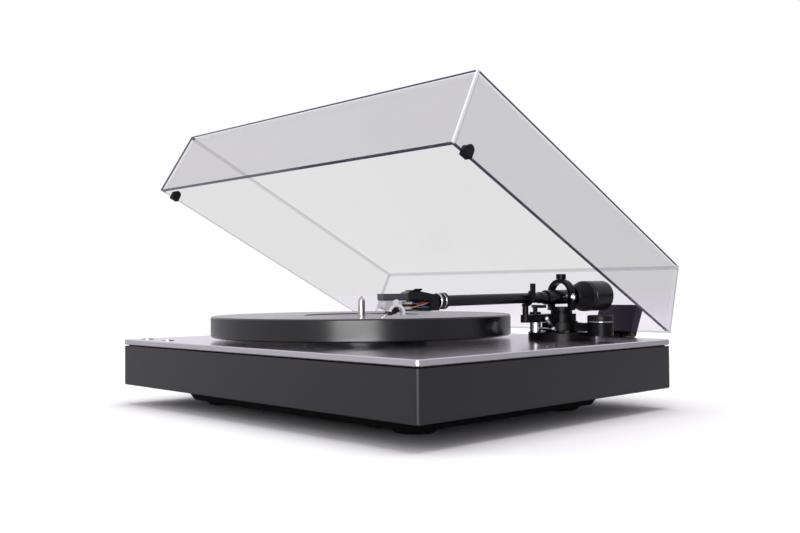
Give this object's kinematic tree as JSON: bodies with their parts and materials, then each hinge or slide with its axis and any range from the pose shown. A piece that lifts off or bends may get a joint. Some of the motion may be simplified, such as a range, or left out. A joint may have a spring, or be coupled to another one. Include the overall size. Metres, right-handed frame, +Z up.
{
  "type": "direct drive turntable",
  "caption": "Flat plinth with a turned platter on a central spindle, a straight tonearm on a gimbal with counterweight and lift, and a hinged clear cover",
  "frame": {"origin": "on the floor under the middle of the plinth, in the plane of the feet's undersides", "axes": "+X to the right seen from the front, +Y to the back where the hinges and sockets are, +Z up along the platter's spindle"},
  "size_m": [0.438, 0.3772, 0.2875],
  "materials": {
    "deck_metal": "satin anodised grey, bright chamfers",
    "plinth_black": "matte charcoal, fine grain",
    "tray_black": "matte black",
    "rubber_black": "matte black rubber",
    "platter_metal": "satin black anodised, turned",
    "steel": "bare turned steel",
    "zinc_grey": "plain plated steel",
    "magnet_grey": "dark sintered magnet",
    "coil_copper": "varnished copper wire",
    "board_green": "coated circuit board",
    "component_black": "moulded black",
    "arm_black": "satin black coat",
    "bright_chrome": "polished plated metal",
    "socket_metal": "plated brass",
    "knob_black": "satin black moulding",
    "cartridge_silver": "silver moulding",
    "lead_red": "thin coloured insulation",
    "cover_clear": "clear smoked sheet, polished edges",
    "button_silver": "satin silver"
  },
  "bodies": {
    "plinth_body": {"plinth_block": "plinth_black", "damping_sheet": "rubber_black", "deck_plate": "deck_metal", "base_tray": "tray_black", "feet": "rubber_black", "motor_plate": "zinc_grey", "bearing_housing": "steel", "stator_board": "board_green", "stator_coils": "coil_copper", "main_board": "board_green", "board_parts": "component_black", "rear_panel": "zinc_grey", "phono_sockets": "socket_metal", "mains_inlet": "component_black", "arm_base": "arm_black", "base_screws": "arm_black", "arm_pillar": "arm_black", "shank_nut": "zinc_grey", "arm_bridge": "arm_black", "arm_rest": "arm_black", "lift_cylinder": "steel", "skate_drum": "arm_black", "hinge_brackets": "arm_black", "hinge_pins": "steel", "fixing_screws": "zinc_grey"},
    "platter_body": {"platter": "platter_metal", "rotor_cup": "zinc_grey", "ring_magnet": "magnet_grey", "spindle": "steel"},
    "cover_body": {"cover_top": "cover_clear", "cover_front": "cover_clear", "cover_rear": "cover_clear", "cover_left": "cover_clear", "cover_right": "cover_clear", "cover_bumpers": "rubber_black", "hinge_pockets": "cover_clear", "hinge_leaves": "arm_black"},
    "yoke_body": {"arm_yoke": "arm_black", "bearing_screws": "bright_chrome", "yoke_nut": "arm_black"},
    "arm_body": {"arm_sleeve": "arm_black", "arm_tube": "arm_black", "headshell": "arm_black", "cartridge": "cartridge_silver", "stylus": "component_black", "finger_lift": "arm_black", "headshell_leads": "lead_red"},
    "lock_collar_body": {"lock_collar": "arm_black"},
    "liner_body": {"weight_liner": "component_black"},
    "counterweight_body": {"counterweight": "arm_black"},
    "force_dial_body": {"force_dial": "knob_black"},
    "cue_lever_body": {"cue_lever": "bright_chrome"},
    "cue_platform_body": {"cue_platform": "arm_black"},
    "rest_latch_body": {"rest_latch": "knob_black"},
    "skate_knob_body": {"skate_knob": "arm_black"},
    "power_button_body": {"power_button": "button_silver"},
    "speed_button_body": {"speed_button": "button_silver"},
    "level_switch_body": {"level_switch": "component_black"},
    "ground_nut_body": {"ground_nut": "socket_metal"}
  },
  "joints": [
    {"name": "platter_spin", "type": "hinge", "parent": "plinth_body", "child": "platter_body", "pos_m": [-0.023, -0.012, 0.08], "axis": [0, 0, 1], "continuous": true},
    {"name": "cover_open", "type": "hinge", "parent": "plinth_body", "child": "cover_body", "pos_m": [0, 0.1817, 0.0591], "axis": [-1, 0, 0], "range_deg": [-26.6, 33.4]},
    {"name": "arm_swing", "type": "hinge", "parent": "plinth_body", "child": "yoke_body", "pos_m": [0.145, 0.0975, 0.1], "axis": [0, 0, -1], "range_deg": [0, 33]},
    {"name": "arm_lift", "type": "hinge", "parent": "yoke_body", "child": "arm_body", "pos_m": [0.145, 0.0975, 0.1084], "axis": [-0.999, 0.0436, 0], "range_deg": [0, 12]},
    {"name": "lock_collar_turn", "type": "hinge", "parent": "arm_body", "child": "lock_collar_body", "pos_m": [0.145, 0.0975, 0.1084], "axis": [-0.0436, -0.999, -0.0105], "range_deg": [0, 60]},
    {"name": "weight_travel", "type": "slide", "parent": "arm_body", "child": "liner_body", "axis": [0.0436, 0.999, 0.0105], "range_m": [-0.003, 0.001]},
    {"name": "weight_turn", "type": "hinge", "parent": "liner_body", "child": "counterweight_body", "pos_m": [0.145, 0.0975, 0.1084], "axis": [0.0436, 0.999, 0.0105], "range_deg": [-540, 180]},
    {"name": "dial_turn", "type": "hinge", "parent": "liner_body", "child": "force_dial_body", "pos_m": [0.145, 0.0975, 0.1084], "axis": [0.0436, 0.999, 0.0105], "range_deg": [-180, 180]},
    {"name": "cue_lever_turn", "type": "hinge", "parent": "plinth_body", "child": "cue_lever_body", "pos_m": [0.1315, 0.07412, 0.0785], "axis": [1, 0, 0], "range_deg": [0, 50]},
    {"name": "cue_platform_slide", "type": "slide", "parent": "plinth_body", "child": "cue_platform_body", "axis": [0, 0, 1], "range_m": [-0.0035, 0]},
    {"name": "rest_latch_turn", "type": "hinge", "parent": "plinth_body", "child": "rest_latch_body", "pos_m": [0.14271, 0.04505, 0.10785], "axis": [-0.0436, -0.999, 0], "range_deg": [0, 110]},
    {"name": "skate_knob_turn", "type": "hinge", "parent": "plinth_body", "child": "skate_knob_body", "pos_m": [0.1893, 0.0975, 0.09], "axis": [0, 0, 1], "range_deg": [0, 270]},
    {"name": "power_button_press", "type": "slide", "parent": "plinth_body", "child": "power_button_body", "axis": [0, 0, -1], "range_m": [0, 0.001], "stiffness_N_per_m": 400, "springref_m": -0.001},
    {"name": "speed_button_press", "type": "slide", "parent": "plinth_body", "child": "speed_button_body", "axis": [0, 0, -1], "range_m": [0, 0.001], "stiffness_N_per_m": 400, "springref_m": -0.001},
    {"name": "level_switch_slide", "type": "slide", "parent": "plinth_body", "child": "level_switch_body", "axis": [1, 0, 0], "range_m": [0, 0.003]},
    {"name": "ground_nut_turn", "type": "hinge", "parent": "plinth_body", "child": "ground_nut_body", "pos_m": [0.032, 0.176, 0.039], "axis": [0, 1, 0], "range_deg": [0, 720]}
  ],
  "couplings": [
    {"joint": "weight_turn", "follows": "weight_travel", "rad_per_m": 3141.6},
    {"joint": "cue_lever_turn", "follows": "cue_platform_slide", "rad_per_m": -249.3}
  ]
}
